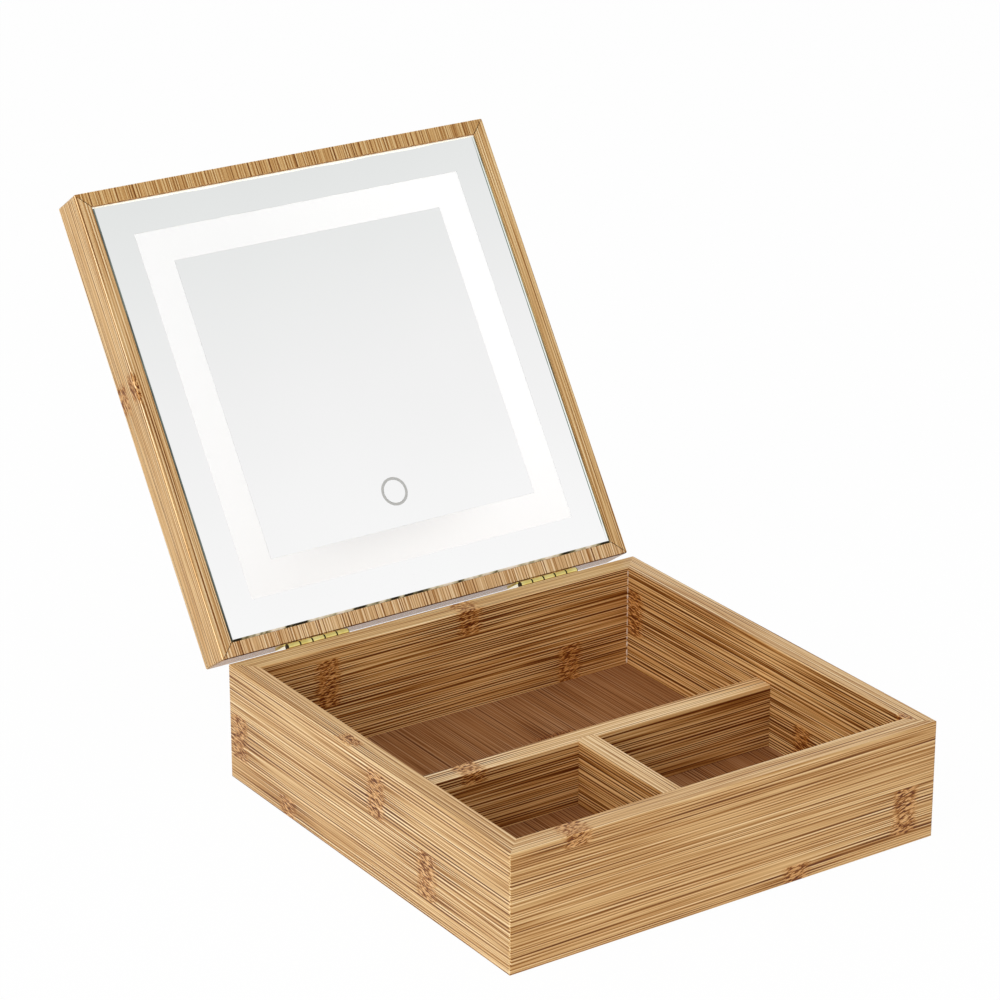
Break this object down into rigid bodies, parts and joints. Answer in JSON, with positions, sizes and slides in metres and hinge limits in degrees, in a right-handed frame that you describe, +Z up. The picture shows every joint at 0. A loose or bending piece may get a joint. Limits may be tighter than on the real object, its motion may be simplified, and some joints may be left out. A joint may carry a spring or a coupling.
{
  "type": "vanity box with mirror",
  "caption": "Square bamboo jewellery box with divided compartments and a hinged lid that holds a mirror with a lit frosted band, a touch ring and a charging socket.",
  "frame": {"origin": "centre of the underside of the box", "axes": "+X to the right, +Y from the front to the hinges, +Z up"},
  "size_m": [0.2, 0.3294, 0.2154],
  "materials": {
    "bamboo": "satin lacquer",
    "brass": "polished",
    "mirror_glass": "polished, etched band and ring",
    "foam_tape": "matt",
    "opal_acrylic": "opal",
    "white_plastic": "matt",
    "white_circuit_board": "matt",
    "lamp_chip": "gloss",
    "battery_foil": "satin",
    "circuit_board": "gloss",
    "black_plastic": "matt",
    "steel": "satin",
    "lead_insulation": "satin"
  },
  "bodies": {
    "box": {"front_wall": "bamboo", "back_wall": "bamboo", "left_wall": "bamboo", "right_wall": "bamboo", "bottom_board": "bamboo", "long_divider": "bamboo", "short_divider": "bamboo", "box_hinge_leaf_left": "brass", "box_hinge_leaf_right": "brass", "hinge_pin_left": "brass", "hinge_pin_right": "brass", "box_hinge_screws": "brass"},
    "lid": {"battery": "battery_foil", "battery_lead": "lead_insulation", "battery_tape": "foam_tape", "board_screws": "steel", "charging_board": "circuit_board", "charging_lead": "lead_insulation", "charging_socket": "steel", "charging_tongue": "black_plastic", "control_board": "circuit_board", "control_components": "black_plastic", "glass_tape": "foam_tape", "lamp_boards": "white_circuit_board", "lamp_chips": "lamp_chip", "lamp_jumpers": "lead_insulation", "lamp_lead": "lead_insulation", "lid_back_strip": "bamboo", "lid_front_strip": "bamboo", "lid_hinge_leaf_left": "brass", "lid_hinge_leaf_right": "brass", "lid_hinge_screws": "brass", "lid_left_strip": "bamboo", "lid_outer_panel": "bamboo", "lid_right_strip": "bamboo", "light_diffuser": "opal_acrylic", "light_tray": "white_plastic", "mirror_glass": "mirror_glass", "touch_board": "circuit_board", "touch_lead": "lead_insulation", "tray_screws": "steel"}
  },
  "joints": [
    {"name": "lid_hinge", "type": "hinge", "parent": "box", "child": "lid", "pos_m": [0, 0.1018, 0.0489], "axis": [1, 0, 0], "range_deg": [0, 124.1]}
  ]
}
